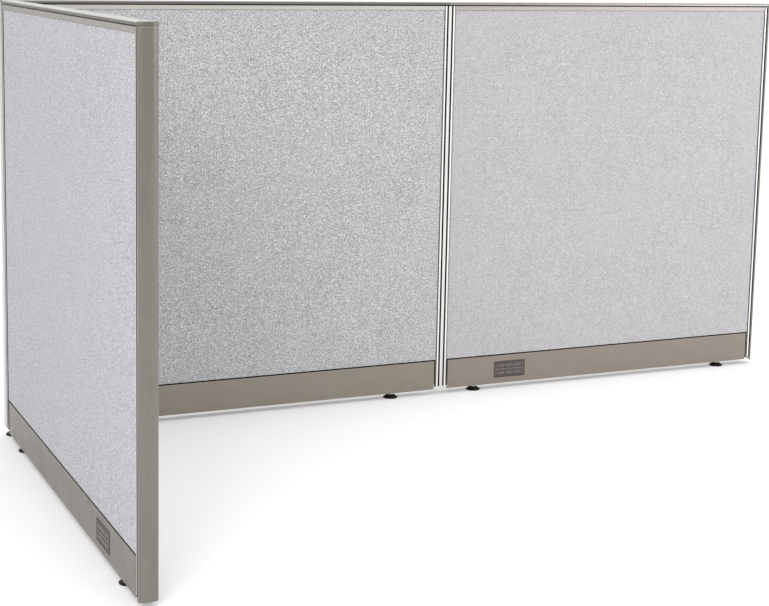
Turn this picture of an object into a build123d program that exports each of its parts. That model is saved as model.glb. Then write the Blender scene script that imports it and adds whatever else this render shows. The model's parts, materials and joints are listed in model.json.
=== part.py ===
from build123d import *
from math import cos, radians, sin
import os

# L-shaped carrel screen: three fabric panels on a raceway base, with a corner post and an in-line strip.
# Millimetres, +Z up. The origin is on the floor, in the middle of the rectangle that the L fills.
# The back run lies along X at the +Y side, and the wing runs from its -X end towards -Y.

# ---- driving dimensions ----
HEIGHT = 1270
THICK = 46
HALF = THICK / 2
WING_WIDTH = 1362
CENTRE_WIDTH = 1362
RIGHT_WIDTH = 1219
JOINT_GAP = 10
COVER_DEPTH = 13

# heights above the floor
KICK_BOTTOM = 18
KICK_TOP = 112
FRAME_BOTTOM = 26
RAIL_BOTTOM = 98
TILE_BOTTOM = 116
TONGUE_BOTTOM = 1233
TILE_TOP = 1245.6
RAIL_BAND = 1246
FRAME_TOP = 1258.5
LIP_BOTTOM = 1262.5

# stile section, measured inwards from the panel's end
REBATE = 6
REBATE_HALF = 17
EDGE_END = 11.5
GROOVE_END = 14.5
GROOVE_HALF = 20
STILE_END = 26
STILE_HOLLOW_HALF = 13
CORE_HALF = 7
WALL = 2
PAST = 1

# pockets that lighten the rails, and the cap's section
TOP_POCKET = (12, 5)
TOP_POCKET_OUT = 14.5
TOP_POCKET_UP = 4.5
BASE_POCKET = (6, 13)
BASE_POCKET_OUT = 6.5
CAP_ROUND = 5
CAP_HOLLOW_HALF = 14
CAP_FLOOR = 2.5
CAP_ROOF = 2.5
CAP_TONGUE_HALF = 12
CAP_TONGUE = 4
CAP_GROOVE_HALF = 12.3
CAP_GROOVE = 4.5

# boards and tiles
SEPTUM_HALF = 1.5
SLOT_DEPTH = 8
SEPTUM_GRIP = 7
TILE_BACK = 7.5
TILE_FACE = 22.5
TILE_GAP = 0.3
TILE_ROUND = 2
SLOT_HALF = 1.6

# cables pass the stiles through this notch
NOTCH_HALF = 14
NOTCH_TOP = 100

# kick plate and the bead that it hangs on
KICK_INSET = 19.5
KICK_FACE = 22
KICK_SHEET = 2
LIP_INNER = 12
BEAD_OUT = 16
BEAD_HEIGHT = 106
BEAD_RADIUS = 2
BEAD_WEB_HALF = 0.6
HOOK_PLAY = 0.1
HOOK_RADIUS = 3.8
HOOK_OPENS = 110
HOOK_CLOSES = 240
ARM_START = 3
ARM_HALF = 1.5
INNER_START = 52
FILLER_END = 49
RAIL_HALF = 11.5
LEDGE_HALF = 14.5
LEDGE_THICK = 2

# outlet plate
OUTLET_WIDTH = 115
OUTLET_HEIGHT = 56
OUTLET_MIDDLE = (KICK_BOTTOM + KICK_TOP) / 2
OUTLET_ROUND = 2
CUT_WIDTH = 109
CUT_HEIGHT = 50
PLUG_PLAY = 0.6
PLUG_DEPTH = 3.5
SNAP_WIDTH = 30
SNAP_REACH = 3
SNAP_THICK = 1.5
RIM = 2
GROOVE_WIDTH = 3
GROOVE_DEPTH = 0.8
ROW = (96, 18)
ROW_PITCH = 25
FIELD = (28, 12)
FIELD_PITCH = 31
FIELD_ROUND = 1
WING_OUTLET = 291
RIGHT_OUTLET = 249

# levelling glides
PAD_RADIUS = 23
PAD_HEIGHT = 10
PAD_RIM = 2.5
PAD_NECK = 13
SOCKET_FLOOR = 4
JOURNAL_RADIUS = 6
RUNNING_PLAY = 0.05
NECK_TOP = 10.5
HEX_TOP = 16
HEX_FLATS = 17
THREAD_RADIUS = 5
STUD_TOP = 80
STUD_CHAMFER = 1
BOSS_RADIUS = 10
BRACKET_PLATE = 4
BRACKET_LENGTH = 60
WING_FOOT = 150
CENTRE_FOOT = 165
RIGHT_FOOT = 126

# corner post
POST_HOLLOW = 14
POST_REBATE = 8
POST_ROUND = 4
WINDOW_HALF = 10
BLOCK_HEIGHT = 12
BLOCK_PLAY = 0.2
PLUG_HEIGHT = 8
STRIP_WALL = 6

# covers on the free ends
COVER_BOTTOM = 14
COVER_FLANK = 5
END_CAP_HEIGHT = 11
END_CAP_ROUND = 2.5
SPIGOT_SIDE_PLAY = 1
SPIGOT_CROWN_PLAY = 0.5

# fasteners
BOLT_HEIGHTS = (300, 650, 1000)
BOLT_RADIUS = 4
BOLT_HEAD = 6.5
BOLT_HEAD_THICK = 4
NUT_THICK = 5
NUT_WIDTH = 13
HOLE_PLAY = 0.3
SCREW_RADIUS = 2
SCREW_HEAD = 3.6
SCREW_HEAD_THICK = 2.5
SCREW_LENGTH = 22
TOP_SCREW = 1248
BASE_SCREW = 107
CLIP = (30, 40)
CLIP_EDGE = 150
CLIP_RISE = 800

# ---- places ----
LENGTH_X = THICK + CENTRE_WIDTH + JOINT_GAP + RIGHT_WIDTH + COVER_DEPTH
LENGTH_Y = THICK + WING_WIDTH + COVER_DEPTH
POST_X = -LENGTH_X / 2 + HALF
POST_Y = LENGTH_Y / 2 - HALF

# each run: its start on the floor line, its direction, its width, the inset of its feet, its side names
RUNS = {
    "wing": {
        "start": Vector(POST_X, POST_Y - HALF, 0),
        "along": Vector(0, -1, 0),
        "width": WING_WIDTH,
        "foot": WING_FOOT,
        "sides": {-1: "outer", 1: "inner"},
        "feet": ("wing_far", "wing_near"),
    },
    "centre": {
        "start": Vector(POST_X + HALF, POST_Y, 0),
        "along": Vector(1, 0, 0),
        "width": CENTRE_WIDTH,
        "foot": CENTRE_FOOT,
        "sides": {-1: "front", 1: "back"},
        "feet": ("centre_left", "centre_right"),
    },
    "right": {
        "start": Vector(POST_X + HALF + CENTRE_WIDTH + JOINT_GAP, POST_Y, 0),
        "along": Vector(1, 0, 0),
        "width": RIGHT_WIDTH,
        "foot": RIGHT_FOOT,
        "sides": {-1: "front", 1: "back"},
        "feet": ("right_left", "right_right"),
    },
}
UP = Vector(0, 0, 1)


def across(run):
    """Unit vector through the panel, from its -1 side to its +1 side."""
    return UP.cross(run["along"])


def point(run, distance, height=0):
    """A point on the panel's middle plane."""
    return run["start"] + run["along"] * distance + UP * height


def plan(run, distance, height, inwards=1):
    """Level plane: its x runs inwards from one end of the panel, its y through the panel."""
    return Plane(origin=point(run, distance, height), x_dir=run["along"] * inwards, z_dir=UP)


def section(run, distance):
    """Upright plane across the run: its x goes through the panel, its y is up, its normal is along."""
    return Plane(origin=point(run, distance), x_dir=across(run), z_dir=run["along"])


def side_section(run, side, start, end):
    """Upright plane whose x points out of one side, at whichever end its normal leaves towards the other."""
    distance = start if side > 0 else end
    return Plane(origin=point(run, distance), x_dir=across(run) * side, z_dir=run["along"] * side)


def face_plane(run, side, distance, height, out):
    """Plane parallel to a side of the panel: its y is up and its normal points out of that side."""
    origin = point(run, distance, height) + across(run) * (side * out)
    return Plane(origin=origin, x_dir=run["along"] * -side, z_dir=across(run) * side)


def band(x_low, x_high, y_low, y_high, mode=Mode.ADD):
    """Rectangle given by its edges, in the sketch's own plane."""
    with Locations(((x_low + x_high) / 2, (y_low + y_high) / 2)):
        Rectangle(x_high - x_low, y_high - y_low, mode=mode)


def save(piece, name):
    """Label the finished piece and write it under its node's name."""
    piece.part.label = name
    export_step(piece.part, f"parts/{name}.step")


# ---- panel frames ----
def stile(run, end):
    """Upright end extrusion: shadow rebate, bright edge, groove, and a tongue that holds the septum."""
    distance = 0 if end == "start" else run["width"]
    inwards = 1 if end == "start" else -1
    with BuildPart() as upright:
        with BuildSketch(plan(run, distance, FRAME_BOTTOM, inwards)):
            band(0, REBATE, -REBATE_HALF, REBATE_HALF)
            band(REBATE, EDGE_END, -HALF, HALF)
            band(EDGE_END, GROOVE_END, -GROOVE_HALF, GROOVE_HALF)
            band(WALL, GROOVE_END - WALL, -STILE_HOLLOW_HALF, STILE_HOLLOW_HALF, mode=Mode.SUBTRACT)
        extrude(amount=FRAME_TOP - FRAME_BOTTOM)
        with BuildSketch(plan(run, distance, TILE_BOTTOM, inwards)):
            band(GROOVE_END, STILE_END, -CORE_HALF, CORE_HALF)
            band(STILE_END - SLOT_DEPTH, STILE_END, -SLOT_HALF, SLOT_HALF, mode=Mode.SUBTRACT)
        extrude(amount=TONGUE_BOTTOM - TILE_BOTTOM)
        with BuildSketch(plan(run, distance, FRAME_BOTTOM, inwards)):
            band(0, GROOVE_END, -NOTCH_HALF, NOTCH_HALF)
        extrude(amount=NOTCH_TOP - FRAME_BOTTOM, mode=Mode.SUBTRACT)
        screw_plane = section(run, distance)
        with BuildSketch(screw_plane):
            with Locations((0, TOP_SCREW), (0, BASE_SCREW)):
                Circle(SCREW_RADIUS + HOLE_PLAY)
        extrude(amount=(GROOVE_END + PAST) * inwards, mode=Mode.SUBTRACT)
        if (run, end) not in FREE_ENDS:
            with BuildSketch(screw_plane):
                with Locations(*[(0, height) for height in BOLT_HEIGHTS]):
                    Circle(BOLT_RADIUS + HOLE_PLAY)
            extrude(amount=(WALL + PAST) * inwards, mode=Mode.SUBTRACT)
    return upright


def top_rail(run):
    """Rail under the cap: a visible band at full thickness and a slot on top for the cap's tongue."""
    with BuildPart() as rail:
        with BuildSketch(section(run, GROOVE_END)):
            band(-HALF, HALF, RAIL_BAND, FRAME_TOP)
            band(-CORE_HALF, CORE_HALF, TONGUE_BOTTOM, RAIL_BAND)
            band(-SLOT_HALF, SLOT_HALF, TONGUE_BOTTOM, TONGUE_BOTTOM + SLOT_DEPTH, mode=Mode.SUBTRACT)
            band(-CAP_GROOVE_HALF, CAP_GROOVE_HALF, FRAME_TOP - CAP_GROOVE, FRAME_TOP, mode=Mode.SUBTRACT)
            for side in (-1, 1):
                with Locations((side * TOP_POCKET_OUT, RAIL_BAND + TOP_POCKET_UP)):
                    Rectangle(*TOP_POCKET, mode=Mode.SUBTRACT)
            with Locations((0, TOP_SCREW)):
                Circle(SCREW_RADIUS + HOLE_PLAY, mode=Mode.SUBTRACT)
        extrude(amount=run["width"] - 2 * GROOVE_END)
    return rail


def base_rail(run):
    """Hollow rail under the tiles, with a ledge and a round hinge bead along each side."""
    with BuildPart() as rail:
        with BuildSketch(section(run, GROOVE_END)):
            band(-RAIL_HALF, RAIL_HALF, RAIL_BOTTOM, TILE_BOTTOM)
            band(-LEDGE_HALF, LEDGE_HALF, TILE_BOTTOM - LEDGE_THICK, TILE_BOTTOM)
            band(-BEAD_OUT, BEAD_OUT, BEAD_HEIGHT - BEAD_WEB_HALF, BEAD_HEIGHT + BEAD_WEB_HALF)
            with Locations((-BEAD_OUT, BEAD_HEIGHT), (BEAD_OUT, BEAD_HEIGHT)):
                Circle(BEAD_RADIUS)
            for side in (-1, 1):
                with Locations((side * BASE_POCKET_OUT, (RAIL_BOTTOM + TILE_BOTTOM) / 2)):
                    Rectangle(*BASE_POCKET, mode=Mode.SUBTRACT)
            with Locations((0, BASE_SCREW)):
                Circle(SCREW_RADIUS + HOLE_PLAY, mode=Mode.SUBTRACT)
        extrude(amount=run["width"] - 2 * GROOVE_END)
    return rail


def septum(run):
    """Thin board in the middle of the frame, held in the slots of the stiles and the top rail."""
    inset = STILE_END - SEPTUM_GRIP
    with BuildPart() as board:
        with BuildSketch(section(run, inset)):
            band(-SEPTUM_HALF, SEPTUM_HALF, TILE_BOTTOM, TONGUE_BOTTOM + SEPTUM_GRIP)
        extrude(amount=run["width"] - 2 * inset)
    return board


def tile(run, side):
    """Fabric-wrapped board that fills one face of the frame, with soft edges."""
    inset = GROOVE_END + TILE_GAP
    with BuildPart() as pad:
        with BuildSketch(side_section(run, side, inset, run["width"] - inset)):
            band(TILE_BACK, TILE_FACE, TILE_BOTTOM, TILE_TOP)
        extrude(amount=run["width"] - 2 * inset)
        outward = Axis(pad.part.center(), across(run) * side)
        fillet(pad.faces().sort_by(outward)[-1].edges(), TILE_ROUND)
    return pad


def top_cap(run, before=0, after=0):
    """Rounded aluminium cap; its neck makes the shadow gap and its tongue sits in the top rail."""
    tongue_start = GROOVE_END + PAST
    with BuildPart() as cap:
        with BuildSketch(section(run, -before)) as profile:
            band(-HALF, HALF, LIP_BOTTOM, HEIGHT)
            fillet(profile.vertices().group_by(Axis.Y)[-1], CAP_ROUND)
            band(-REBATE_HALF, REBATE_HALF, FRAME_TOP, LIP_BOTTOM)
            band(-CAP_HOLLOW_HALF, CAP_HOLLOW_HALF, FRAME_TOP + CAP_FLOOR, HEIGHT - CAP_ROOF, Mode.SUBTRACT)
        extrude(amount=run["width"] + before + after)
        with BuildSketch(section(run, tongue_start)):
            band(-CAP_TONGUE_HALF, CAP_TONGUE_HALF, FRAME_TOP - CAP_TONGUE, FRAME_TOP)
        extrude(amount=run["width"] - 2 * tongue_start)
    return cap


# ---- raceway covers ----
def hook_mouth():
    """Wedge that opens the hook towards the rail, wide enough for the whole swing."""
    reach = 2 * HOOK_RADIUS
    corners = [(BEAD_OUT, BEAD_HEIGHT)]
    for angle in (HOOK_OPENS, (HOOK_OPENS + HOOK_CLOSES) / 2, HOOK_CLOSES):
        corners.append((BEAD_OUT + reach * cos(radians(angle)), BEAD_HEIGHT + reach * sin(radians(angle))))
    return corners


def kick_plate(run, side, start, end, outlet=None):
    """Cover that hangs on the base rail's bead by an open hook and ends in a cable lip."""
    with BuildPart() as kick:
        with BuildSketch(side_section(run, side, start, end)):
            with Locations((BEAD_OUT, BEAD_HEIGHT)):
                Circle(HOOK_RADIUS)
            arm_low, arm_high = BEAD_HEIGHT - ARM_HALF, BEAD_HEIGHT + ARM_HALF
            band(BEAD_OUT + ARM_START, KICK_FACE - KICK_SHEET, arm_low, arm_high)
            with Locations((BEAD_OUT, BEAD_HEIGHT)):
                Circle(BEAD_RADIUS + HOOK_PLAY, mode=Mode.SUBTRACT)
            with BuildLine():
                Polyline(*hook_mouth(), close=True)
            make_face(mode=Mode.SUBTRACT)
            band(KICK_FACE - KICK_SHEET, KICK_FACE, KICK_BOTTOM, KICK_TOP)
            band(LIP_INNER, KICK_FACE - KICK_SHEET, KICK_BOTTOM, KICK_BOTTOM + KICK_SHEET)
        extrude(amount=end - start)
        if outlet is not None:
            with BuildSketch(face_plane(run, side, outlet, OUTLET_MIDDLE, KICK_FACE)):
                Rectangle(CUT_WIDTH, CUT_HEIGHT)
            extrude(amount=-KICK_SHEET - PAST, mode=Mode.SUBTRACT)
    return kick


def outlet_plate(run, side, distance):
    """Blanking plate in the kick plate's cut-out: two rows of three knock-outs inside a grooved border."""
    front = face_plane(run, side, distance, OUTLET_MIDDLE, HALF)
    with BuildPart() as plate:
        with BuildSketch(face_plane(run, side, distance, OUTLET_MIDDLE, KICK_FACE)):
            RectangleRounded(OUTLET_WIDTH, OUTLET_HEIGHT, OUTLET_ROUND)
        extrude(amount=HALF - KICK_FACE)
        with BuildSketch(face_plane(run, side, distance, OUTLET_MIDDLE, KICK_FACE)):
            Rectangle(CUT_WIDTH - PLUG_PLAY, CUT_HEIGHT - PLUG_PLAY)
        extrude(amount=-PLUG_DEPTH)
        with BuildSketch(face_plane(run, side, distance, OUTLET_MIDDLE, KICK_FACE - KICK_SHEET)):
            Rectangle(SNAP_WIDTH, CUT_HEIGHT + SNAP_REACH)
        extrude(amount=-SNAP_THICK)
        with BuildSketch(front):
            Rectangle(OUTLET_WIDTH - 2 * RIM, OUTLET_HEIGHT - 2 * RIM)
            Rectangle(
                OUTLET_WIDTH - 2 * RIM - 2 * GROOVE_WIDTH,
                OUTLET_HEIGHT - 2 * RIM - 2 * GROOVE_WIDTH,
                mode=Mode.SUBTRACT,
            )
            with GridLocations(0, ROW_PITCH, 1, 2):
                Rectangle(*ROW)
            with GridLocations(FIELD_PITCH, ROW_PITCH, 3, 2):
                RectangleRounded(*FIELD, FIELD_ROUND, mode=Mode.SUBTRACT)
        extrude(amount=-GROOVE_DEPTH, mode=Mode.SUBTRACT)
    return plate


# ---- levelling glides ----
def glide_pad(spot):
    """Low conical foot with a blind socket for the stud."""
    bore = JOURNAL_RADIUS + RUNNING_PLAY
    with BuildPart() as pad:
        with BuildSketch(Plane(origin=spot, x_dir=(1, 0, 0), z_dir=(0, -1, 0))):
            with BuildLine():
                Polyline(
                    (0, 0),
                    (PAD_RADIUS, 0),
                    (PAD_RADIUS, PAD_RIM),
                    (PAD_NECK, PAD_HEIGHT),
                    (bore, PAD_HEIGHT),
                    (bore, SOCKET_FLOOR),
                    (0, SOCKET_FLOOR),
                    close=True,
                )
            make_face()
        revolve(axis=Axis(spot, UP))
    return pad


def glide_stud(spot):
    """Journal in the pad's socket, hexagon for a spanner, and the threaded stem above it."""
    with BuildPart() as stud:
        with BuildSketch(Plane(origin=spot + UP * SOCKET_FLOOR)):
            Circle(JOURNAL_RADIUS)
        extrude(amount=NECK_TOP - SOCKET_FLOOR)
        with BuildSketch(Plane(origin=spot + UP * NECK_TOP)):
            RegularPolygon(HEX_FLATS / 2, 6, major_radius=False)
        extrude(amount=HEX_TOP - NECK_TOP)
        with BuildSketch(Plane(origin=spot + UP * HEX_TOP)):
            Circle(THREAD_RADIUS)
        extrude(amount=STUD_TOP - HEX_TOP)
        chamfer(stud.faces().sort_by(Axis.Z)[-1].edges(), STUD_CHAMFER)
    return stud


def leveller_brackets(runs):
    """Threaded bosses on plates under the base rails, one over each panel foot."""
    with BuildPart() as brackets:
        for run in runs:
            for distance in (run["foot"], run["width"] - run["foot"]):
                with BuildSketch(plan(run, distance, RAIL_BOTTOM - BRACKET_PLATE)):
                    Rectangle(BRACKET_LENGTH, 2 * RAIL_HALF)
                extrude(amount=BRACKET_PLATE)
                with BuildSketch(plan(run, distance, FRAME_BOTTOM)):
                    Circle(BOSS_RADIUS)
                extrude(amount=RAIL_BOTTOM - BRACKET_PLATE - FRAME_BOTTOM)
                with BuildSketch(plan(run, distance, FRAME_BOTTOM)):
                    Circle(THREAD_RADIUS + RUNNING_PLAY)
                extrude(amount=RAIL_BOTTOM - FRAME_BOTTOM, mode=Mode.SUBTRACT)
    return brackets


# ---- corner post and joints ----
def corner_post():
    """Square tube with shadow rebates beside the panels and a cable window towards each of them."""
    with BuildPart() as post:
        with BuildSketch(Plane(origin=(POST_X, POST_Y, FRAME_BOTTOM))) as profile:
            Rectangle(THICK, THICK)
            fillet(profile.vertices().sort_by(Axis((0, 0, 0), (-1, 1, 0)))[-1], POST_ROUND)
            band(-HALF, -REBATE_HALF, -HALF, -HALF + POST_REBATE, mode=Mode.SUBTRACT)
            band(HALF - POST_REBATE, HALF, REBATE_HALF, HALF, mode=Mode.SUBTRACT)
            Rectangle(2 * POST_HOLLOW, 2 * POST_HOLLOW, mode=Mode.SUBTRACT)
        extrude(amount=FRAME_TOP - FRAME_BOTTOM)
        for run in (RUNS["wing"], RUNS["centre"]):
            with BuildSketch(section(run, 0)):
                band(-WINDOW_HALF, WINDOW_HALF, FRAME_BOTTOM + BLOCK_HEIGHT, RAIL_BOTTOM)
                with Locations(*[(0, height) for height in BOLT_HEIGHTS]):
                    Circle(BOLT_RADIUS + HOLE_PLAY)
            extrude(amount=-(HALF - POST_HOLLOW + PAST), mode=Mode.SUBTRACT)
    return post


def post_cap():
    """Corner cap in line with the panel caps, plugged into the top of the post."""
    with BuildPart() as cap:
        with BuildSketch(Plane(origin=(POST_X, POST_Y, LIP_BOTTOM))):
            Rectangle(THICK, THICK)
        extrude(amount=HEIGHT - LIP_BOTTOM)
        top = cap.faces().sort_by(Axis.Z)[-1].edges()
        fillet([top.sort_by(Axis.X)[0], top.sort_by(Axis.Y)[-1]], CAP_ROUND)
        with BuildSketch(Plane(origin=(POST_X, POST_Y, FRAME_TOP))):
            Rectangle(2 * REBATE_HALF, 2 * REBATE_HALF)
        extrude(amount=LIP_BOTTOM - FRAME_TOP)
        with BuildSketch(Plane(origin=(POST_X, POST_Y, FRAME_TOP - PLUG_HEIGHT))):
            Rectangle(2 * POST_HOLLOW - BLOCK_PLAY, 2 * POST_HOLLOW - BLOCK_PLAY)
        extrude(amount=PLUG_HEIGHT)
    return cap


def post_foot_block(spot):
    """Threaded block in the bottom of the post, over its own foot."""
    with BuildPart() as block:
        with BuildSketch(Plane(origin=spot + UP * FRAME_BOTTOM)):
            Rectangle(2 * POST_HOLLOW - BLOCK_PLAY, 2 * POST_HOLLOW - BLOCK_PLAY)
            Circle(THREAD_RADIUS + RUNNING_PLAY, mode=Mode.SUBTRACT)
        extrude(amount=BLOCK_HEIGHT)
    return block


def connector_strip():
    """Narrow hollow strip between the two back panels, notched like the stiles for the cables."""
    run = RUNS["centre"]
    with BuildPart() as strip:
        with BuildSketch(plan(run, run["width"] + JOINT_GAP / 2, FRAME_BOTTOM)):
            Rectangle(JOINT_GAP, THICK)
            Rectangle(JOINT_GAP - 2 * WALL, THICK - 2 * STRIP_WALL, mode=Mode.SUBTRACT)
        extrude(amount=FRAME_TOP - FRAME_BOTTOM)
        with BuildSketch(plan(run, run["width"] + JOINT_GAP / 2, FRAME_BOTTOM)):
            Rectangle(JOINT_GAP, 2 * NOTCH_HALF)
        extrude(amount=NOTCH_TOP - FRAME_BOTTOM, mode=Mode.SUBTRACT)
        with BuildSketch(section(run, run["width"])):
            with Locations(*[(0, height) for height in BOLT_HEIGHTS]):
                Circle(BOLT_RADIUS + HOLE_PLAY)
        extrude(amount=JOINT_GAP, mode=Mode.SUBTRACT)
    return strip


# ---- ends of the runs ----
def crowned_outline(depth, half):
    """Outline of an end cover: two short flanks and a shallow arc between them."""
    with BuildLine() as outline:
        Line((0, -half), (COVER_FLANK, -half))
        ThreePointArc((COVER_FLANK, -half), (depth, 0), (COVER_FLANK, half))
        Line((COVER_FLANK, half), (0, half))
        Line((0, half), (0, -half))
    make_face(outline.edges())


def end_cover(run):
    """Crowned channel that closes the panel's free end from near the floor to the frame's top."""
    with BuildPart() as cover:
        with BuildSketch(plan(run, run["width"], COVER_BOTTOM)):
            crowned_outline(COVER_DEPTH, HALF)
        extrude(amount=FRAME_TOP - COVER_BOTTOM)
        with BuildSketch(plan(run, run["width"], COVER_BOTTOM)):
            crowned_outline(COVER_DEPTH - WALL, HALF - WALL)
        extrude(amount=FRAME_TOP - COVER_BOTTOM, mode=Mode.SUBTRACT)
    return cover


def end_cap(run):
    """Solid piece on top of an end cover that closes the end of the cap."""
    with BuildPart() as piece:
        with BuildSketch(plan(run, run["width"], FRAME_TOP)):
            crowned_outline(COVER_DEPTH, HALF)
        extrude(amount=END_CAP_HEIGHT)
        rim = piece.faces().sort_by(Axis.Z)[-1].edges().sort_by(Axis(run["start"], run["along"]))[1:]
        fillet(rim, END_CAP_ROUND)
        with BuildSketch(plan(run, run["width"], FRAME_TOP - PLUG_HEIGHT)):
            crowned_outline(COVER_DEPTH - WALL - SPIGOT_CROWN_PLAY, HALF - WALL - SPIGOT_SIDE_PLAY)
        extrude(amount=PLUG_HEIGHT)
    return piece


# ---- hidden fasteners ----
def bolt_places():
    """Plane at each bolt: its origin on the joint face of the stile, its normal into that stile."""
    places = []
    for run, distance, reach in BOLTED:
        for height in BOLT_HEIGHTS:
            origin = point(run, distance, height)
            inwards = run["along"] if distance == 0 else run["along"] * -1
            places.append((Plane(origin=origin, x_dir=UP, z_dir=inwards), reach))
    return places


def draw_bolts():
    """Bolts with round heads inside the stiles, reaching across each joint."""
    with BuildPart() as bolts:
        for place, reach in bolt_places():
            with BuildSketch(place.offset(WALL)):
                Circle(BOLT_HEAD)
            extrude(amount=BOLT_HEAD_THICK)
            with BuildSketch(place.offset(-reach - NUT_THICK)):
                Circle(BOLT_RADIUS)
            extrude(amount=reach + NUT_THICK + WALL)
    return bolts


def draw_nuts():
    """Square nuts at the far end of the draw bolts."""
    with BuildPart() as nuts:
        for place, reach in bolt_places():
            with BuildSketch(place.offset(-reach - NUT_THICK)):
                Rectangle(NUT_WIDTH, NUT_WIDTH)
                Circle(BOLT_RADIUS, mode=Mode.SUBTRACT)
            extrude(amount=NUT_THICK)
    return nuts


def corner_screws():
    """Screws from inside the stiles into the ends of the top and base rails."""
    with BuildPart() as screws:
        for run in RUNS.values():
            for distance, inwards in ((0, 1), (run["width"], -1)):
                seat = distance + (GROOVE_END - WALL) * inwards
                for height in (TOP_SCREW, BASE_SCREW):
                    place = Plane(origin=point(run, seat, height), x_dir=UP, z_dir=run["along"] * inwards)
                    with BuildSketch(place.offset(-SCREW_HEAD_THICK)):
                        Circle(SCREW_HEAD)
                    extrude(amount=SCREW_HEAD_THICK)
                    with BuildSketch(place):
                        Circle(SCREW_RADIUS)
                    extrude(amount=SCREW_LENGTH)
    return screws


def tile_clips():
    """Spacer clips between the septum and the tiles, four behind each tile."""
    with BuildPart() as clips:
        for run in RUNS.values():
            middle = (TILE_BOTTOM + TILE_TOP) / 2
            for side in (-1, 1):
                with BuildSketch(face_plane(run, side, run["width"] / 2, middle, SEPTUM_HALF)):
                    with GridLocations(run["width"] - 2 * CLIP_EDGE, CLIP_RISE, 2, 2):
                        Rectangle(*CLIP)
                extrude(amount=TILE_BACK - SEPTUM_HALF)
    return clips


# ---- build and write every piece ----
WING = RUNS["wing"]
CENTRE = RUNS["centre"]
RIGHT = RUNS["right"]
FREE_ENDS = ((WING, "end"), (RIGHT, "end"))
POST_REACH = HALF - POST_HOLLOW
# each bolted joint: the run whose stile holds the heads, where on it, and how far the nuts' seats are beyond
BOLTED = (
    (WING, 0, POST_REACH),
    (CENTRE, 0, POST_REACH),
    (CENTRE, CENTRE_WIDTH, JOINT_GAP + WALL),
)
OUTLETS = {("wing", -1): WING_WIDTH - WING_OUTLET, ("right", -1): RIGHT_OUTLET}
CAP_REACH = {"wing": (0, 0), "centre": (0, JOINT_GAP / 2), "right": (JOINT_GAP / 2, 0)}

os.makedirs("parts", exist_ok=True)

for name, run in RUNS.items():
    save(stile(run, "start"), f"{name}_stile_start")
    save(stile(run, "end"), f"{name}_stile_end")
    save(top_rail(run), f"{name}_top_rail")
    save(base_rail(run), f"{name}_base_rail")
    save(septum(run), f"{name}_septum")
    save(top_cap(run, *CAP_REACH[name]), f"{name}_top_cap")
    for side, side_name in run["sides"].items():
        outlet = OUTLETS.get((name, side))
        save(tile(run, side), f"{name}_tile_{side_name}")
        start = INNER_START if (name, side) == ("wing", 1) else KICK_INSET
        save(kick_plate(run, side, start, run["width"] - KICK_INSET, outlet), f"{name}_kick_{side_name}")
        if outlet is not None:
            save(outlet_plate(run, side, outlet), f"{name}_outlet_plate")

foot_spots = {"corner": Vector(POST_X, POST_Y, 0)}
for run in RUNS.values():
    foot_spots[run["feet"][0]] = point(run, run["foot"])
    foot_spots[run["feet"][1]] = point(run, run["width"] - run["foot"])
for name, spot in foot_spots.items():
    save(glide_pad(spot), f"pad_{name}")
    save(glide_stud(spot), f"stud_{name}")

save(kick_plate(WING, 1, KICK_INSET, FILLER_END), "inner_corner_filler")
save(leveller_brackets(RUNS.values()), "leveller_brackets")
save(corner_post(), "corner_post")
save(post_cap(), "post_cap")
save(post_foot_block(foot_spots["corner"]), "post_foot_block")
save(connector_strip(), "connector_strip")
for name in ("wing", "right"):
    save(end_cover(RUNS[name]), f"{name}_end_cover")
    save(end_cap(RUNS[name]), f"{name}_end_cap")
save(draw_bolts(), "draw_bolts")
save(draw_nuts(), "draw_nuts")
save(corner_screws(), "corner_screws")
save(tile_clips(), "tile_clips")
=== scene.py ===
import bpy
import json
import math
from mathutils import Matrix, Vector


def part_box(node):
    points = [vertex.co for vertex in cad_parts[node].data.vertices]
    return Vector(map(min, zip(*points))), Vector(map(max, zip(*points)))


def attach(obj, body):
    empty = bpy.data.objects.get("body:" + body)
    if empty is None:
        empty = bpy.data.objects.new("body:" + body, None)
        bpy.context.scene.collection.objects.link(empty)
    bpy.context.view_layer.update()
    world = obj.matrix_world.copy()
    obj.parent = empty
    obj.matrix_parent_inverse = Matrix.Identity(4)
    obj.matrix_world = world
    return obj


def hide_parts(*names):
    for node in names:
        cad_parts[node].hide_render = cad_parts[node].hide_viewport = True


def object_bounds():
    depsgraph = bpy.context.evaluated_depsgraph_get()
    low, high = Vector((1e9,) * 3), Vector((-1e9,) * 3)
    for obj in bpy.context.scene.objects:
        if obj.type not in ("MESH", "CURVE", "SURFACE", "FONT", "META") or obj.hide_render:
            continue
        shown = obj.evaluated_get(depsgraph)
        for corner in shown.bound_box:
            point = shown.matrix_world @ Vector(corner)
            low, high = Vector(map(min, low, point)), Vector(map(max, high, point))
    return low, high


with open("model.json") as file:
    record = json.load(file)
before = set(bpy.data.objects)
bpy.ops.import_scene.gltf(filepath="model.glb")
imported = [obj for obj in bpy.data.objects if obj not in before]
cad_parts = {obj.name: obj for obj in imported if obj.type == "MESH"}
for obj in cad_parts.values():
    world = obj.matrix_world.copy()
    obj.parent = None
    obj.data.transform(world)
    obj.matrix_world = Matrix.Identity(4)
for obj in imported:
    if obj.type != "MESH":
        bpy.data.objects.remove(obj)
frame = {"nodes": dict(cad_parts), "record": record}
NODES = frame["nodes"]
CAD_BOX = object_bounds()
SLOT_OF = {part["node"]: part["material_slot"] for part in frame["record"]["subparts"]}
MM = 0.001

# ---- camera ----
IMAGE_WIDTH = 769
FOCAL_PIXELS = 1641.5
SENSOR = 36
SHIFT = (0.051, -0.13)
FROM_CORNER = Vector((-0.9453, -4.6992, 1.4126))
YAW = -0.4075
TILT = 0.15
ROLL = 0.0172


def link(thing):
    """Put an object in the scene."""
    bpy.context.scene.collection.objects.link(thing)
    return thing


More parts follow.
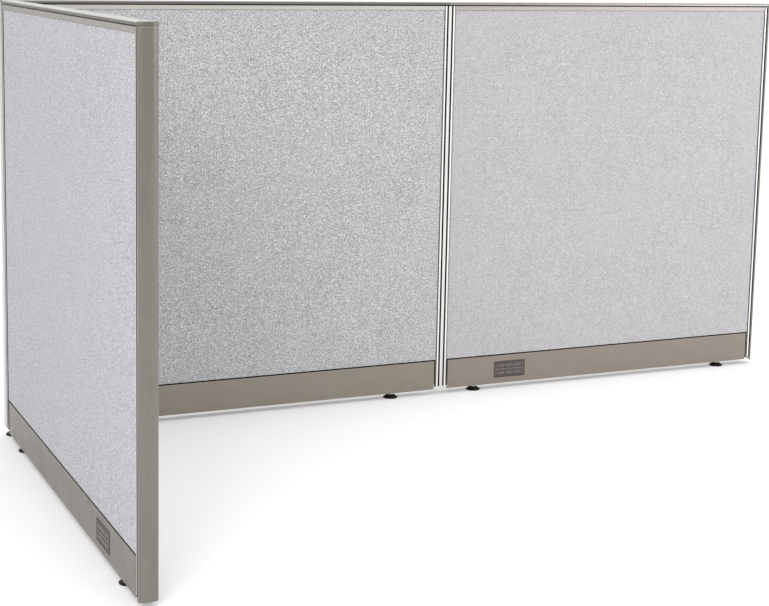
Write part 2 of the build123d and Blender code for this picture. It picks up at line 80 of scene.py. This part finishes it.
def make_camera():
    """Camera at the viewing angle, placed from the outer corner of the L at floor level."""
    low, high = CAD_BOX
    place = Vector((low.x, high.y, 0)) + FROM_CORNER
    ahead = Vector((-math.sin(YAW) * math.cos(TILT), math.cos(YAW) * math.cos(TILT), -math.sin(TILT)))
    side = Vector((math.cos(YAW), math.sin(YAW), 0))
    upright = side.cross(ahead)
    cam_x = side * math.cos(ROLL) + upright * math.sin(ROLL)
    cam_y = upright * math.cos(ROLL) - side * math.sin(ROLL)
    lens = bpy.data.cameras.new("view_lens")
    lens.sensor_width = SENSOR
    lens.lens = FOCAL_PIXELS / IMAGE_WIDTH * SENSOR
    lens.shift_x, lens.shift_y = SHIFT
    camera = link(bpy.data.objects.new("view", lens))
    camera.matrix_world = Matrix((
        (cam_x.x, cam_y.x, -ahead.x, place.x),
        (cam_x.y, cam_y.y, -ahead.y, place.y),
        (cam_x.z, cam_y.z, -ahead.z, place.z),
        (0, 0, 0, 1),
    ))
    bpy.context.scene.camera = camera


# ---- node graphs ----
# a mix node's sockets: the factor, then the two numbers or the two colours
FACTOR = 0
NUMBER_A, NUMBER_B = 2, 3
COLOUR_A, COLOUR_B = 6, 7
MIXED_COLOUR = 2


def linear(red, green, blue):
    """Colour for a socket from 0-255 display values."""
    values = []
    for value in (red, green, blue):
        value = value / 255
        values.append(value / 12.92 if value <= 0.04045 else ((value + 0.055) / 1.055) ** 2.4)
    return (*values, 1)


class Graph:
    """A material's node tree with short calls for the nodes used here."""

    def __init__(self, name):
        self.material = bpy.data.materials.new(name)
        self.material.use_nodes = True
        self.tree = self.material.node_tree
        self.shader = self.tree.nodes["Principled BSDF"]
        self.place = self.add("ShaderNodeTexCoord").outputs["Object"]

    def add(self, kind, inputs=None, **settings):
        made = self.tree.nodes.new(kind)
        for key, value in settings.items():
            setattr(made, key, value)
        for key, value in (inputs or {}).items():
            self.feed(made.inputs[key], value)
        return made

    def feed(self, socket, value):
        if isinstance(value, bpy.types.NodeSocket):
            self.tree.links.new(value, socket)
        else:
            socket.default_value = value

    def math(self, operation, first, second=0.0, clamp=False):
        made = self.add("ShaderNodeMath", {0: first, 1: second}, operation=operation, use_clamp=clamp)
        return made.outputs[0]

    def axis(self, number):
        return self.add("ShaderNodeSeparateXYZ", {0: self.place}).outputs[number]

    def mix(self, factor, first, second):
        inputs = {FACTOR: factor, COLOUR_A: first, COLOUR_B: second}
        return self.add("ShaderNodeMix", inputs, data_type="RGBA").outputs[MIXED_COLOUR]

    def scaled(self, scale):
        return self.add("ShaderNodeMapping", {"Vector": self.place, "Scale": scale}).outputs[0]

    def noise(self, vector, scale, detail=2.0, rough=0.5):
        inputs = {"Vector": vector, "Scale": scale, "Detail": detail, "Roughness": rough}
        return self.add("ShaderNodeTexNoise", inputs).outputs[0]

    def spread(self, value, low, high, to_low=0.0, to_high=1.0):
        inputs = {"Value": value, "From Min": low, "From Max": high, "To Min": to_low, "To Max": to_high}
        return self.add("ShaderNodeMapRange", inputs).outputs[0]

    def bump(self, height, strength, distance, normal=None):
        inputs = {"Height": height, "Strength": strength, "Distance": distance}
        if normal is not None:
            inputs["Normal"] = normal
        return self.add("ShaderNodeBump", inputs).outputs[0]

    def shade(self, **inputs):
        for key, value in inputs.items():
            self.feed(self.shader.inputs[key.replace("_", " ")], value)


# ---- fabric ----
# yarn pitch, and how many noise cells a metre has along and across each kind of fleck
WARP_PITCH = 2.1 * MM
WEFT_PITCH = 1.9 * MM
PALE_FLECKS = (215, 330, 215)
DARK_FLECKS = (330, 230, 330)
MOTTLE_CELLS = 42
CLOUD_CELLS = 5
WEAVE_RELIEF = 0.35 * MM


def heather_fabric(name, contrast, light_and_shade_offset):
    """Light grey heather weave: yarns, flecks of lighter and darker fibre, and faint larger mottles."""
    g = Graph(name)
    along = g.math("ADD", g.axis(0), g.axis(1))
    rise = g.axis(2)
    depth = g.math("SUBTRACT", g.axis(0), g.axis(1))
    cloth = g.add("ShaderNodeCombineXYZ", {0: along, 1: rise, 2: depth}).outputs[0]
    warp = g.math("SINE", g.math("MULTIPLY", along, 2 * math.pi / WARP_PITCH))
    weft = g.math("SINE", g.math("MULTIPLY", rise, 2 * math.pi / WEFT_PITCH))
    weave = g.math("MULTIPLY_ADD", g.math("MULTIPLY", warp, weft), 0.5)
    weave.node.inputs[2].default_value = 0.5
    long_flecks = g.add("ShaderNodeMapping", {"Vector": cloth, "Scale": PALE_FLECKS}).outputs[0]
    tall_flecks = g.add("ShaderNodeMapping", {"Vector": cloth, "Scale": DARK_FLECKS}).outputs[0]
    pale = g.spread(g.noise(long_flecks, 1, 1.5, 0.5), 0.48, 0.68)
    dark = g.spread(g.noise(tall_flecks, 1, 1.5, 0.5), 0.48, 0.68)
    mottle = g.spread(g.noise(cloth, MOTTLE_CELLS, 3, 0.6), 0.3, 0.7)
    cloud = g.noise(cloth, CLOUD_CELLS, 2)
    # the offset paints each run's light and shade into its fabric tone
    red, green, blue = light_and_shade_offset
    deep = linear(172 + red, 172 + green, 173 + blue)
    light = linear(186 + red, 185 + green, 187 + blue)
    colour = g.mix(mottle, deep, light)
    colour = g.mix(g.math("MULTIPLY", pale, 0.98 * contrast), colour, linear(238, 238, 239))
    colour = g.mix(g.math("MULTIPLY", dark, 0.92 * contrast), colour, linear(98, 99, 103))
    colour = g.mix(g.math("MULTIPLY", weave, 0.14), colour, linear(140, 140, 144))
    colour = g.mix(g.spread(cloud, 0.35, 0.65, 0.0, 0.12), colour, linear(194, 190, 194))
    height = g.math("ADD", weave, g.math("MULTIPLY", pale, 0.8))
    g.shade(
        Base_Color=colour,
        Roughness=g.spread(weave, 0, 1, 0.98, 0.82),
        Normal=g.bump(height, 0.5, WEAVE_RELIEF),
        Sheen_Weight=0.18,
        Sheen_Roughness=0.6,
        Specular_IOR_Level=0.25,
    )
    return g.material


# ---- metals and plastics ----
# pale edges on metal: worn paint and a painted highlight along each rounding
PALE_EDGE = (232, 230, 226)
# black for the painted shade in gaps and recesses
SHADE_BLACK = (9, 9, 9)
WEAR_AND_HIGHLIGHT = 0.9 * MM
PLASTIC_WEAR = 0.7 * MM
# the cover's wider rounding paints a highlight line along each of its edges
COVER_WEAR_AND_HIGHLIGHT = 1.8 * MM
BAND_BLUR = 0.2 * MM
STREAK_CELLS = (900.0, 5.0)
METAL_RELIEF = 0.05 * MM
PLASTIC_RELIEF = 0.06 * MM
BOARD_RELIEF = 0.2 * MM


def edge_wear_and_highlight(g, radius):
    """How far a point is inside an edge's rounding, and the rounded normal there."""
    rounded = g.add("ShaderNodeBevel", {"Radius": radius}, samples=6).outputs[0]
    flat = g.add("ShaderNodeNewGeometry").outputs["Normal"]
    alike = g.add("ShaderNodeVectorMath", {0: rounded, 1: flat}, operation="DOT_PRODUCT").outputs["Value"]
    return g.spread(alike, 0.995, 0.8), rounded


def darkened(g, colour, shade_bands):
    """Colour with near-black bands of painted shade: axis, middle, half width, strength, and a height
    they stay under.
    """
    for number, middle, half, strength, ceiling in shade_bands:
        off = g.math("ABSOLUTE", g.math("SUBTRACT", g.axis(number), middle))
        inside = g.spread(off, half + BAND_BLUR, half - BAND_BLUR)
        under = g.spread(g.axis(2), ceiling + BAND_BLUR, ceiling - BAND_BLUR)
        factor = g.math("MULTIPLY", g.math("MULTIPLY", inside, under), strength)
        colour = g.mix(factor, colour, linear(*SHADE_BLACK))
    return colour


def dark_sides(g, colour, number):
    """Colour with the faces that look along one axis painted black: painted shade in the shadow gaps."""
    facing = g.add("ShaderNodeNewGeometry").outputs["True Normal"]
    along = g.add("ShaderNodeSeparateXYZ", {0: facing}).outputs[number]
    sideways = g.spread(g.math("ABSOLUTE", along), 0.6, 0.8)
    return g.mix(sideways, colour, linear(*SHADE_BLACK))


def satin_metal(
    name, tone, grain, rough, metallic, shade_bands=(), edge=PALE_EDGE, gap_axis=None, pale_edge_radius=WEAR_AND_HIGHLIGHT, crown=None
):
    """Anodised or painted metal: fine streaks along its extrusion, faint blotches, and pale edges of wear
    and painted highlight.

    grain is the axis of the streaks, gap_axis the one whose side faces are painted black as shade, crown
    the lighter tone painted on faces that look up as a highlight.
    """
    g = Graph(name)
    across, lengthwise = STREAK_CELLS
    fine = [across, across, across]
    fine[grain] = lengthwise
    streak = g.noise(g.scaled(fine), 1, 3, 0.6)
    blotch = g.noise(g.place, 16, 3, 0.55)
    speck = g.noise(g.place, 1400, 1)
    edge_mask, rounded = edge_wear_and_highlight(g, pale_edge_radius)
    base = linear(*tone)
    light = tuple(min(1, value * 1.1) for value in base[:3]) + (1,)
    deep = tuple(value * 0.88 for value in base[:3]) + (1,)
    colour = g.mix(g.spread(streak, 0.3, 0.7), deep, light)
    colour = g.mix(g.spread(blotch, 0.35, 0.65, 0, 0.3), colour, deep)
    # a painted highlight: faces that look up take the lighter crown tone
    if crown is not None:
        facing = g.add("ShaderNodeNewGeometry").outputs["True Normal"]
        rise = g.add("ShaderNodeSeparateXYZ", {0: facing}).outputs[2]
        colour = g.mix(g.spread(rise, 0.25, 0.95), colour, linear(*crown))
    # pale edges: wear chips and a painted highlight along the rounding
    chips_and_highlight = g.math("MULTIPLY", edge_mask, g.spread(g.noise(g.place, 160, 4, 0.7), 0.35, 0.65, 0.25, 0.8))
    colour = g.mix(chips_and_highlight, colour, linear(*edge))
    # painted shade: black bands in the gaps and recesses, and black side faces in the shadow gaps
    colour = darkened(g, colour, shade_bands)
    if gap_axis is not None:
        colour = dark_sides(g, colour, gap_axis)
    streaky = g.spread(streak, 0.2, 0.8, rough - 0.05, rough + 0.07)
    roughness = g.math("ADD", streaky, g.spread(blotch, 0.3, 0.7, -0.03, 0.04))
    surface = g.math("ADD", streak, g.math("MULTIPLY", speck, 0.5))
    g.shade(
        Base_Color=colour,
        Metallic=metallic,
        Roughness=roughness,
        Normal=g.bump(surface, 0.12, METAL_RELIEF, rounded),
        Specular_IOR_Level=0.45,
    )
    return g.material


def moulded_plastic(name, tone, rough, shade_bands=()):
    """Spark-eroded plastic: fine grain, a little gloss variation, lighter rubbed edges."""
    g = Graph(name)
    grain = g.noise(g.place, 1500, 2)
    cloud = g.noise(g.place, 60, 3)
    edge_mask, rounded = edge_wear_and_highlight(g, PLASTIC_WEAR)
    base = linear(*tone)
    pale = tuple(min(1, value * 1.25 + 0.01) for value in base[:3]) + (1,)
    deep = tuple(value * 0.86 for value in base[:3]) + (1,)
    colour = g.mix(g.spread(cloud, 0.3, 0.7), base, deep)
    colour = g.mix(g.math("MULTIPLY", edge_mask, 0.25), colour, pale)
    # painted shade in any bands given
    colour = darkened(g, colour, shade_bands)
    g.shade(
        Base_Color=colour,
        Roughness=g.spread(grain, 0.25, 0.75, rough - 0.08, rough + 0.1),
        Normal=g.bump(grain, 0.25, PLASTIC_RELIEF, rounded),
        Specular_IOR_Level=0.35,
    )
    return g.material


def hard_board(name):
    """Brown pressed board with fibres."""
    g = Graph(name)
    fibre = g.noise(g.scaled((60, 60, 240)), 2, 5, 0.7)
    colour = g.mix(g.spread(fibre, 0.3, 0.7), linear(120, 88, 58), linear(168, 132, 92))
    rough = g.spread(fibre, 0, 1, 0.75, 0.95)
    g.shade(Base_Color=colour, Roughness=rough, Normal=g.bump(fibre, 0.3, BOARD_RELIEF))
    return g.material


# ---- fabric-wrapped tiles ----
GRID = 13 * MM
RIM_LINES = (0, 1.5 * MM, 4 * MM, 8 * MM, 14 * MM)
ROLL_RADIUS = 2 * MM
ROLL_STEPS = 4
EDGE_DROP = 0.8 * MM
EDGE_REACH = 7 * MM
CROWN = 1.3 * MM
TURN_IN = 9 * MM
BACK_ROUND = 0.5 * MM
BACK_LIFT = 0.6 * MM
ON_EDGE = 0.001 * MM
SIM_FRAMES = 20
SIM_PRESSURE = 4
crowns = {}


def grid_lines(length):
    """Positions of grid lines across a face: close together near both edges."""
    inner = length - 2 * RIM_LINES[-1]
    count = max(2, round(inner / GRID))
    middle = [RIM_LINES[-1] + inner * i / count for i in range(1, count)]
    return [*RIM_LINES, *middle, *[length - x for x in reversed(RIM_LINES)]]


def taut_crown(width, height):
    """Rise of taut fabric over a face grid, from a small cloth simulation held along its edges."""
    across, upward = grid_lines(width), grid_lines(height)
    key = (round(width, 4), round(height, 4))
    if key in crowns:
        return crowns[key]
    columns = len(across)
    points = [(x, y, 0) for y in upward for x in across]
    quads = []
    for j in range(len(upward) - 1):
        for i in range(columns - 1):
            first = j * columns + i
            quads.append((first, first + 1, first + columns + 1, first + columns))
    mesh = bpy.data.meshes.new("taut_face")
    mesh.from_pydata(points, [], quads)
    face = link(bpy.data.objects.new("taut_face", mesh))
    held = face.vertex_groups.new(name="held")
    rim = []
    for index, (x, y, _) in enumerate(points):
        if min(x, width - x, y, height - y) <= RIM_LINES[1]:
            rim.append(index)
    held.add(rim, 1.0, "REPLACE")
    cloth = face.modifiers.new("taut", "CLOTH")
    settings = cloth.settings
    settings.quality = 4
    settings.mass = 0.3
    settings.tension_stiffness = 40
    settings.compression_stiffness = 40
    settings.shear_stiffness = 20
    settings.bending_stiffness = 2
    settings.air_damping = 8
    settings.vertex_group_mass = "held"
    settings.use_pressure = True
    settings.uniform_pressure_force = SIM_PRESSURE
    settings.effector_weights.gravity = 0
    cloth.point_cache.frame_start = 1
    cloth.point_cache.frame_end = SIM_FRAMES
    for step in range(1, SIM_FRAMES + 1):
        bpy.context.scene.frame_set(step)
    moved = face.evaluated_get(bpy.context.evaluated_depsgraph_get()).to_mesh()
    rise = [abs(vertex.co.z) for vertex in moved.vertices]
    bpy.data.objects.remove(face)
    bpy.context.scene.frame_set(1)
    top = max(rise) or 1
    crowns[key] = [value / top for value in rise]
    return crowns[key]


def perimeter(columns, rows):
    """Indices of a grid's outer points, once round."""
    ring = list(range(columns))
    ring += [j * columns + columns - 1 for j in range(1, rows)]
    ring += [(rows - 1) * columns + i for i in range(columns - 2, -1, -1)]
    ring += [j * columns for j in range(rows - 2, 0, -1)]
    return ring


def tile_shape(width, height, thick):
    """Points and faces of a wrapped board: crowned face, rolled edges, sides, and the turned-in back."""
    inset = ROLL_RADIUS
    face_w, face_h = width - 2 * inset, height - 2 * inset
    across, upward = grid_lines(face_w), grid_lines(face_h)
    rise = taut_crown(face_w, face_h)
    columns, rows = len(across), len(upward)
    points = []
    for j, y in enumerate(upward):
        for i, x in enumerate(across):
            edge = min(x, face_w - x, y, face_h - y)
            drop = EDGE_DROP * math.exp(-edge / EDGE_REACH)
            points.append((x + inset, y + inset, thick - drop + CROWN * rise[j * columns + i]))
    faces = []
    for j in range(rows - 1):
        for i in range(columns - 1):
            first = j * columns + i
            faces.append((first, first + 1, first + columns + 1, first + columns))
    ring = perimeter(columns, rows)
    centre = (width / 2, height / 2)

    def loop(outwards, level):
        """A copy of the outer ring, moved outwards and set at one level."""
        nonlocal ring
        fresh = []
        for index in first_ring:
            x, y = points[index][0], points[index][1]
            if abs(x - inset) < ON_EDGE or abs(x - width + inset) < ON_EDGE:
                x += math.copysign(outwards, x - centre[0])
            if abs(y - inset) < ON_EDGE or abs(y - height + inset) < ON_EDGE:
                y += math.copysign(outwards, y - centre[1])
            fresh.append(len(points))
            points.append((x, y, level))
        for k in range(len(ring)):
            n = (k + 1) % len(ring)
            faces.append((ring[k], fresh[k], fresh[n], ring[n]))
        ring = fresh

    first_ring = list(ring)
    shoulder = thick - EDGE_DROP
    for step in range(1, ROLL_STEPS + 1):
        angle = math.pi / 2 * step / ROLL_STEPS
        loop(ROLL_RADIUS * math.sin(angle), shoulder - ROLL_RADIUS * (1 - math.cos(angle)))
    loop(ROLL_RADIUS, thick * 0.5)
    loop(ROLL_RADIUS, BACK_ROUND)
    loop(ROLL_RADIUS - BACK_ROUND, 0)
    loop(-TURN_IN, 0)
    loop(-TURN_IN, BACK_LIFT)
    faces.append(tuple(reversed(ring)))
    return points, faces


def make_tile(node, fabric):
    """Fabric tile in the place of its CAD board, its face outwards."""
    low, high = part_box(node)
    size = high - low
    thin = 0 if size.x < size.y else 1
    long = 1 - thin
    run = node.split("_")[0]
    rail_low, rail_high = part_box(run + "_top_rail")
    outwards = 1 if (low + high)[thin] > (rail_low + rail_high)[thin] else -1
    points, faces = tile_shape(size[long], size.z, size[thin])
    placed = []
    for u, v, w in points:
        spot = [0, 0, low.z + v]
        spot[long] = low[long] + u
        spot[thin] = low[thin] + w if outwards > 0 else high[thin] - w
        placed.append(spot)
    mesh = bpy.data.meshes.new(node + "_fabric")
    mesh.from_pydata(placed, [], faces)
    flip = outwards * (1 if thin == 0 else -1)
    if flip < 0:
        mesh.flip_normals()
    mesh.polygons.foreach_set("use_smooth", [True] * len(mesh.polygons))
    tile = link(bpy.data.objects.new(node + "_fabric", mesh))
    tile.data.materials.append(fabric)
    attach(tile, "frame")
    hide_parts(node)


# ---- materials on the CAD nodes ----
def middle(node, number):
    """Middle of a node's box along one axis."""
    low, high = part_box(node)
    return (low[number] + high[number]) / 2


def set_material(node, material):
    """Give a CAD node one material."""
    slots = NODES[node].data.materials
    slots.clear()
    slots.append(material)


# half thicknesses inside which a frame's gaps are painted dark as shade, and how far above the rail the
# cap's lip starts
REBATE_DEPTH = 17.6 * MM
GROOVE_DEPTH = 20.6 * MM
LIP_RISE = 4.2 * MM
# ceilings for painted-shade bands that run the whole height
NO_CEILING = 2
PLATE_CEILING = 1
# outlet plates: the painted-shade band takes in all but a thin outer skin
PLATE_REACH = 20 * MM
PLATE_SKIN = 0.45 * MM
# per-run tones: each part has one finish, painted lighter or darker run by run for the light and shade
# that falls on it; the cap's second tone is a painted highlight on its top
KICK_TONES_WITH_PAINTED_LIGHT = {"wing": (125, 119, 111), "centre": (143, 136, 125), "right": (144, 135, 126)}
CAP_TONES_WITH_PAINTED_LIGHT = {
    "wing": ((116, 111, 104), (240, 238, 234)),
    "centre": ((112, 110, 106), (150, 148, 145)),
    "right": ((146, 142, 139), (166, 163, 161)),
}
UPRIGHT_TONES_WITH_PAINTED_LIGHT = {"wing": (204, 203, 199), "centre": (238, 237, 235), "right": (238, 237, 235)}
RAIL_TONES_WITH_PAINTED_LIGHT = {"wing": (162, 157, 151), "centre": (188, 185, 178), "right": (172, 165, 162)}


def finish_frames():
    """Uprights, rails, caps, covers and kick plates, with the streaks along each extrusion."""
    for run, along in (("wing", 1), ("centre", 0), ("right", 0)):
        through = 1 - along
        plane = middle(run + "_top_rail", through)
        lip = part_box(run + "_top_rail")[1].z + LIP_RISE
        # painted shade in the frame's gaps: dark grey in the groove beside the fabric, black in the
        # rebate, and black side faces
        gaps = [
            (through, plane, GROOVE_DEPTH, 0.72, NO_CEILING),
            (through, plane, REBATE_DEPTH, 1.0, NO_CEILING),
        ]
        upright = satin_metal(run + "_upright", UPRIGHT_TONES_WITH_PAINTED_LIGHT[run], 2, 0.34, 0.3, gaps, gap_axis=along)
        set_material(run + "_stile_start", upright)
        set_material(run + "_stile_end", upright)
        if run == "centre":
            # the strip's side faces are painted black as shade in the gaps
            strip = satin_metal("strip", (222, 221, 217), 2, 0.34, 0.45, gap_axis=0)
            set_material("connector_strip", strip)
        # painted shade in the gap under the cap's lip
        seam = [(through, plane, REBATE_DEPTH, 0.9, lip)]
        # the cap's side tone, and the painted highlight tone for its top
        side, crown = CAP_TONES_WITH_PAINTED_LIGHT[run]
        cap = satin_metal(run + "_cap", side, along, 0.26, 0.75, seam, crown=crown)
        set_material(run + "_top_cap", cap)
        set_material(run + "_top_rail", satin_metal(run + "_rail", RAIL_TONES_WITH_PAINTED_LIGHT[run], along, 0.38, 0.4))
        base = satin_metal(run + "_base", (22, 22, 22), along, 0.6, 0.2, edge=(60, 60, 60))
        set_material(run + "_base_rail", base)
        plate = satin_metal(run + "_kick", KICK_TONES_WITH_PAINTED_LIGHT[run], along, 0.36, 0.7)
        for node in NODES:
            if node.startswith(run + "_kick"):
                set_material(node, plate)
    set_material("inner_corner_filler", bpy.data.materials["wing_kick"])
    # the cover's pale edges are wear and painted highlight lines
    cover = satin_metal("cover", (123, 119, 112), 2, 0.3, 0.6, edge=(236, 235, 231), pale_edge_radius=COVER_WEAR_AND_HIGHLIGHT)
    set_material("wing_end_cover", cover)
    set_material("right_end_cover", cover)
    post = satin_metal("post", (206, 205, 200), 2, 0.34, 0.6)
    set_material("corner_post", post)
    set_material("post_cap", bpy.data.materials["centre_cap"])


def finish_small():
    """Plastics, zinc-plated steel and the boards inside."""
    shared = {
        "end_cap_plastic": satin_metal("end_cap", (112, 112, 104), 2, 0.3, 0.7, edge=(215, 213, 208)),
        "glide_plastic": moulded_plastic("glide", (16, 16, 16), 0.5),
        "clip_plastic": moulded_plastic("clip", (225, 224, 220), 0.5),
        "zinc_steel": satin_metal("zinc", (188, 188, 186), 2, 0.3, 1.0),
        "core_board": hard_board("septum_board"),
    }
    for node, slot in SLOT_OF.items():
        if slot in shared:
            set_material(node, shared[slot])
    for node, through in (("wing_outlet_plate", 0), ("right_outlet_plate", 1)):
        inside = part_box(node)[0][through] + PLATE_REACH
        # painted shade in the plate's recessed bands
        band = [(through, inside, PLATE_REACH - PLATE_SKIN, 0.75, PLATE_CEILING)]
        set_material(node, moulded_plastic(node + "_plastic", (108, 99, 96), 0.45, band))


# ---- studio ----
SKY_LOW = 0.55
SKY_HIGH = 1.15
SKY_TOP = 0.9
FLOOR_REACH = 30
# each lamp: name, place, target, size, power
LAMPS = (
    ("main", (-3.8, -3.6, 3.2), (-0.9, 0.0, 0.7), 2.2, 80),
    ("side", (4.4, -3.2, 2.4), (0.4, 0.2, 0.6), 2.0, 100),
)


def make_floor():
    """Plain pale floor."""
    mesh = bpy.data.meshes.new("floor")
    far = FLOOR_REACH
    corners = [(-far, -far, 0), (far, -far, 0), (far, far, 0), (-far, far, 0)]
    mesh.from_pydata(corners, [], [(0, 1, 2, 3)])
    floor = link(bpy.data.objects.new("floor", mesh))
    g = Graph("floor_paint")
    tone = g.noise(g.place, 0.6, 2)
    g.shade(
        Base_Color=g.mix(g.spread(tone, 0.3, 0.7), linear(250, 250, 250), linear(252, 252, 252)),
        Roughness=0.9,
        Emission_Color=(1, 1, 1, 1),
        Emission_Strength=0.1,
        Specular_IOR_Level=0.1,
    )
    mesh.materials.append(g.material)


def area_light(name, place, target, size, power):
    """Soft square lamp aimed at a point."""
    lamp = bpy.data.lights.new(name, "AREA")
    lamp.shape = "SQUARE"
    lamp.size = size
    lamp.energy = power
    thing = link(bpy.data.objects.new(name, lamp))
    thing.location = place
    thing.rotation_mode = "QUATERNION"
    thing.rotation_quaternion = (Vector(target) - Vector(place)).to_track_quat("-Z", "Y")


def make_studio():
    """White surroundings, dimmer towards the horizon as a source of light, and two large soft lamps."""
    world = bpy.data.worlds.new("studio")
    world.use_nodes = True
    tree = world.node_tree
    back = tree.nodes["Background"]
    ray = tree.nodes.new("ShaderNodeLightPath")
    back.inputs["Color"].default_value = (1, 1, 1, 1)
    spot = tree.nodes.new("ShaderNodeTexCoord")
    parts = tree.nodes.new("ShaderNodeSeparateXYZ")
    climb = tree.nodes.new("ShaderNodeMapRange")
    plain = tree.nodes.new("ShaderNodeMix")
    climb.inputs["From Min"].default_value = 0.0
    climb.inputs["From Max"].default_value = SKY_TOP
    climb.inputs["To Min"].default_value = SKY_LOW
    climb.inputs["To Max"].default_value = SKY_HIGH
    plain.inputs[NUMBER_B].default_value = 1.0
    tree.links.new(spot.outputs["Generated"], parts.inputs[0])
    tree.links.new(parts.outputs["Z"], climb.inputs["Value"])
    tree.links.new(ray.outputs["Is Camera Ray"], plain.inputs[FACTOR])
    tree.links.new(climb.outputs[0], plain.inputs[NUMBER_A])
    tree.links.new(plain.outputs[0], back.inputs["Strength"])
    bpy.context.scene.world = world
    bpy.context.scene.view_settings.view_transform = "Standard"
    for lamp in LAMPS:
        area_light(*lamp)
    make_floor()


make_camera()
make_studio()
# lit and shaded copies of one fabric: each run's offset is painted light and shade
weaves = {
    "wing": heather_fabric("heather_wing", 0.9, (-5, -5, 0)),
    "centre": heather_fabric("heather_centre", 1.0, (-6, -5, -5)),
    "right": heather_fabric("heather_right", 0.55, (-2, -4, -3)),
}
for name, slot in SLOT_OF.items():
    if slot == "fabric":
        make_tile(name, weaves[name.split("_")[0]])
finish_frames()
finish_small()
